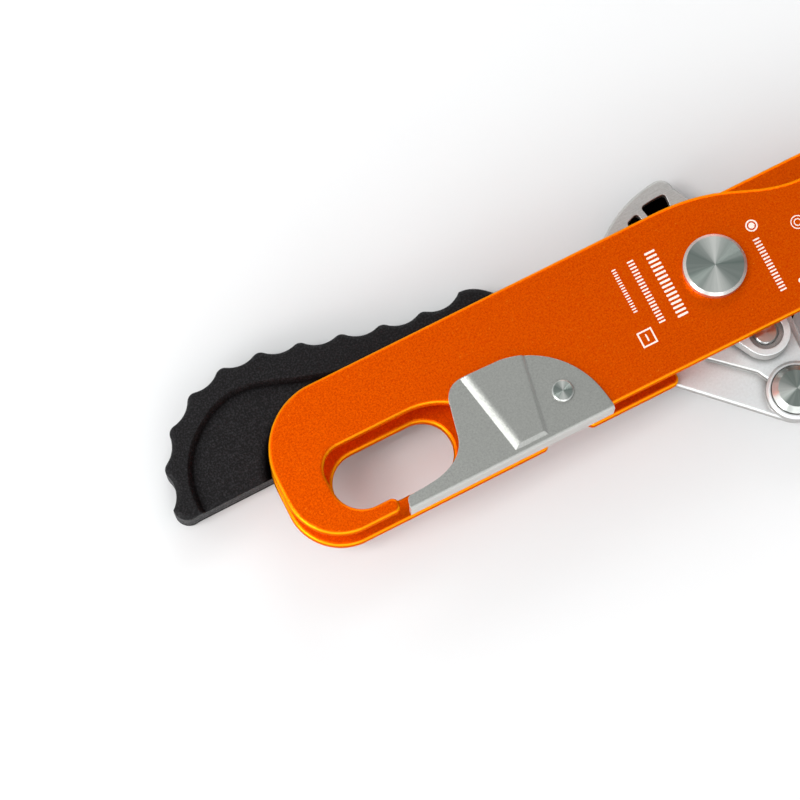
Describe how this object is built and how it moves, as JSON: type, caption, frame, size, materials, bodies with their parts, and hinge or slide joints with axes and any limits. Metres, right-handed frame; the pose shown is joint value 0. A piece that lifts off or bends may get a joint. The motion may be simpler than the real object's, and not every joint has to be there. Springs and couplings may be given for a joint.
{
  "type": "rope descender",
  "caption": "Rope descender: two side plates on a main axle, a sprung hook gate, a braking cam worked by a scalloped lever, and a grooved upper bobbin.",
  "frame": {"origin": "centre of the attachment eye, halfway between the two side plates", "axes": "+X along the plates towards the bobbins, +Y towards the side the lever swings to, +Z out of the front plate"},
  "size_m": [0.2545, 0.0967, 0.04],
  "materials": {
    "orange_anodised": "bead-blasted, orange anodised aluminium",
    "turned_steel": "turned stainless steel",
    "plated_steel": "zinc-plated steel",
    "spring_steel": "drawn spring wire",
    "stamped_steel": "tumbled, stamped stainless sheet",
    "cast_steel": "blasted cast stainless steel",
    "wheel_steel": "turned and polished stainless steel",
    "bronze": "sintered bronze",
    "black_polyamide": "fine-textured black polyamide"
  },
  "bodies": {
    "frame": {"rear_plate": "orange_anodised", "main_axle": "turned_steel", "main_axle_nut": "plated_steel", "rear_washer": "plated_steel", "upper_bobbin": "wheel_steel", "upper_axle": "turned_steel", "upper_washer": "plated_steel", "upper_axle_nut": "plated_steel", "handle_spring": "spring_steel"},
    "front_plate": {"front_plate": "orange_anodised", "gate_rivet": "turned_steel", "gate_spring": "spring_steel"},
    "gate": {"gate": "stamped_steel"},
    "lever": {"lever_plate": "cast_steel", "cam": "cast_steel", "cam_bushing": "bronze", "link_pin": "turned_steel", "link_spacer": "plated_steel", "brake_pin": "turned_steel", "grip_front_shell": "black_polyamide", "grip_back_shell": "black_polyamide", "grip_screw_1": "plated_steel", "grip_screw_2": "plated_steel", "grip_screw_3": "plated_steel", "hub_cap": "black_polyamide"}
  },
  "joints": [
    {"name": "front_plate_swing", "type": "hinge", "parent": "frame", "child": "front_plate", "pos_m": [0.1135, 0.00765, 0], "axis": [0, 0, -1], "range_deg": [0, 95]},
    {"name": "gate_pivot", "type": "hinge", "parent": "front_plate", "child": "gate", "pos_m": [0.0544, -0.00585, 0.012], "axis": [0, 0, -1], "range_deg": [0, 18], "stiffness_Nm_per_rad": 0.05, "springref_deg": -28.65},
    {"name": "lever_pivot", "type": "hinge", "parent": "frame", "child": "lever", "pos_m": [0.1135, 0.00765, 0], "axis": [0, 0, -1], "range_deg": [0, 30], "stiffness_Nm_per_rad": 0.4, "springref_deg": -22.92}
  ]
}
